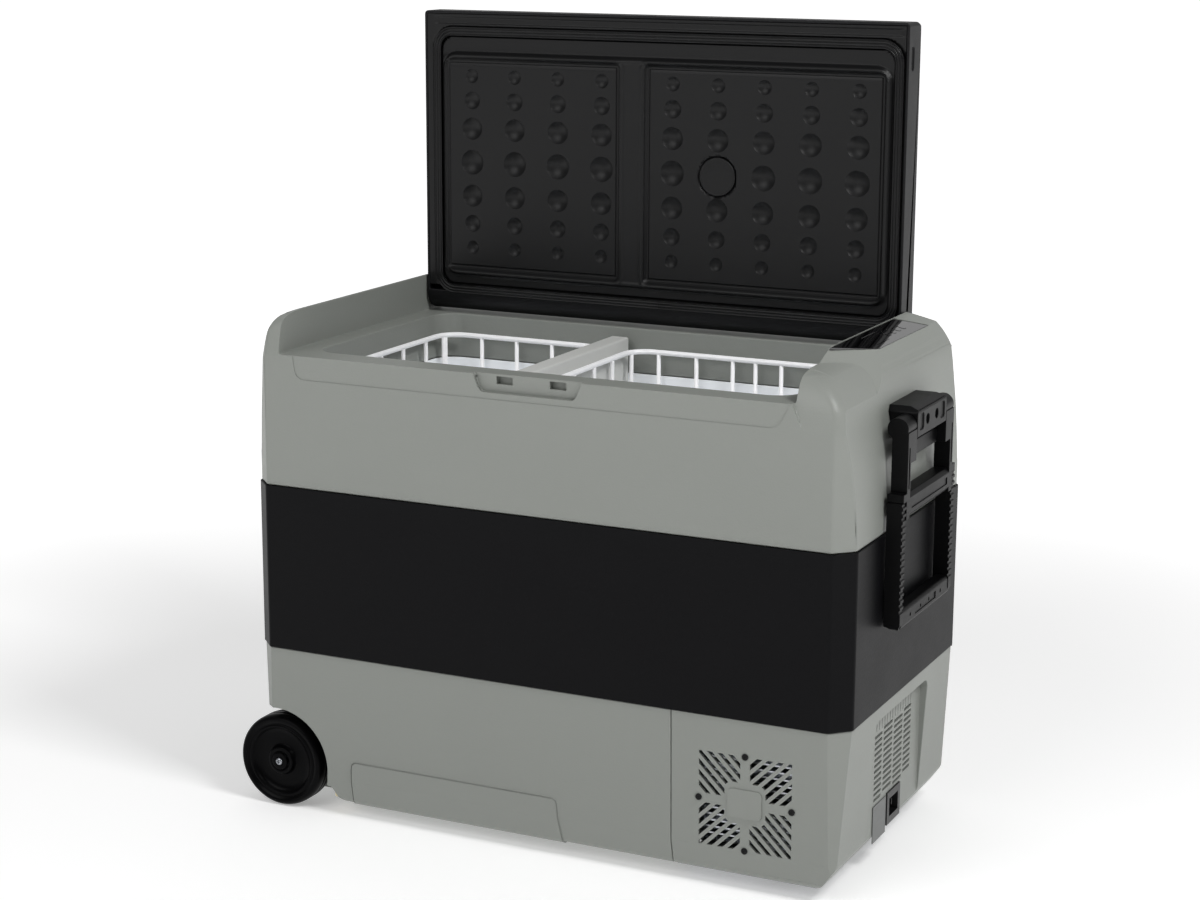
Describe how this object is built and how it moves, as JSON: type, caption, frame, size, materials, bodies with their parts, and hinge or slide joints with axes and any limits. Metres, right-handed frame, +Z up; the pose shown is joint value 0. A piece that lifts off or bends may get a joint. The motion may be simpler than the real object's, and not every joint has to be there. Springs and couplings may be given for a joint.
{
  "type": "compressor cooler fridge",
  "caption": "Portable two-compartment compressor cooler with an open hinged lid, wire baskets, wheels at one end and a fold-out tow handle at the other.",
  "frame": {"origin": "under the middle of the whole cooler at floor level", "axes": "+X towards the tow handle end, +Y towards the rear where the lid is hinged, +Z up"},
  "size_m": [0.6614, 0.324, 0.775],
  "materials": {
    "grey_shell": "fine-textured grey moulded polypropylene, satin",
    "black_satin": "black moulded plastic, satin",
    "black_gloss": "gloss black panel overlay",
    "white_liner": "white moulded liner, semi-gloss",
    "white_wire": "white dipped wire, semi-gloss",
    "light_grey": "light grey divider, satin",
    "rubber": "matt black rubber",
    "foam": "cream rigid foam",
    "aluminium": "bare aluminium",
    "steel": "zinc-plated steel",
    "board": "green circuit board",
    "wheel_plastic": "black wheel, hard tread"
  },
  "bodies": {
    "cabinet": {"upper_shell": "grey_shell", "middle_band": "black_satin", "lower_shell": "grey_shell", "compressor_bay_cover": "grey_shell", "bay_roof": "steel", "base_pan": "steel", "tub_liner": "white_liner", "insulation_foam": "foam", "evaporator_plate": "aluminium", "compressor": "black_satin", "condenser": "aluminium", "fan_housing": "black_satin", "control_board": "board", "dc_socket": "black_satin", "rating_plate": "black_satin", "control_panel": "black_gloss", "display_window": "black_gloss", "grille_screw_1": "steel", "grille_screw_2": "steel", "grille_screw_3": "steel", "grille_screw_4": "steel", "rubber_foot_front": "rubber", "rubber_foot_rear": "rubber", "wheel_screw_front": "steel", "wheel_screw_rear": "steel", "handle_pin_front": "steel", "handle_pin_rear": "steel", "bracket_screw_front": "steel", "bracket_screw_rear": "steel", "wheel_axle": "steel", "handle_bracket": "black_satin", "hinge_pin_left": "steel", "hinge_pin_right": "steel"},
    "lid": {"lid_shell": "black_satin", "lid_liner": "black_satin", "lid_gasket": "rubber", "lid_foam": "foam", "lid_fill_plug": "black_satin"},
    "front_wheel": {"wheel_front": "wheel_plastic"},
    "rear_wheel": {"wheel_rear": "wheel_plastic"},
    "fan": {"fan_rotor": "black_satin"},
    "tow_arm": {"handle_arm": "black_satin"},
    "tow_grip": {"handle_grip": "black_satin"},
    "left_basket": {"basket_left": "white_wire"},
    "right_basket": {"basket_right": "white_wire"},
    "divider": {"tub_divider": "light_grey"},
    "power_key": {"key_power": "black_gloss"},
    "set_key": {"key_set": "black_gloss"},
    "up_key": {"key_up": "black_gloss"},
    "down_key": {"key_down": "black_gloss"}
  },
  "joints": [
    {"name": "lid_hinge", "type": "hinge", "parent": "cabinet", "child": "lid", "pos_m": [0.00365, 0.143, 0.481], "axis": [-1, 0, 0], "range_deg": [-90, 0]},
    {"name": "front_wheel_spin", "type": "hinge", "parent": "cabinet", "child": "front_wheel", "pos_m": [-0.28385, -0.1415, 0.0468], "axis": [0, 1, 0], "continuous": true},
    {"name": "rear_wheel_spin", "type": "hinge", "parent": "cabinet", "child": "rear_wheel", "pos_m": [-0.28385, 0.1415, 0.0468], "axis": [0, 1, 0], "continuous": true},
    {"name": "fan_spin", "type": "hinge", "parent": "cabinet", "child": "fan", "pos_m": [0.21695, -0.106, 0.0868], "axis": [0, 1, 0], "continuous": true},
    {"name": "tow_handle_swing", "type": "hinge", "parent": "cabinet", "child": "tow_arm", "pos_m": [0.32015, 0, 0.427], "axis": [0, -1, 0], "range_deg": [0, 150]},
    {"name": "tow_handle_extend", "type": "slide", "parent": "tow_arm", "child": "tow_grip", "axis": [0, 0, -1], "range_m": [0, 0.08]},
    {"name": "left_basket_lift", "type": "slide", "parent": "cabinet", "child": "left_basket", "axis": [0, 0, 1], "range_m": [0, 0.42]},
    {"name": "right_basket_lift", "type": "slide", "parent": "cabinet", "child": "right_basket", "axis": [0, 0, 1], "range_m": [0, 0.42]},
    {"name": "divider_lift", "type": "slide", "parent": "cabinet", "child": "divider", "axis": [0, 0, 1], "range_m": [0, 0.42]},
    {"name": "power_key_press", "type": "slide", "parent": "cabinet", "child": "power_key", "axis": [-0.314, 0, -0.9494], "range_m": [0, 0.0008], "stiffness_N_per_m": 400},
    {"name": "set_key_press", "type": "slide", "parent": "cabinet", "child": "set_key", "axis": [-0.314, 0, -0.9494], "range_m": [0, 0.0008], "stiffness_N_per_m": 400},
    {"name": "up_key_press", "type": "slide", "parent": "cabinet", "child": "up_key", "axis": [-0.314, 0, -0.9494], "range_m": [0, 0.0008], "stiffness_N_per_m": 400},
    {"name": "down_key_press", "type": "slide", "parent": "cabinet", "child": "down_key", "axis": [-0.314, 0, -0.9494], "range_m": [0, 0.0008], "stiffness_N_per_m": 400}
  ]
}
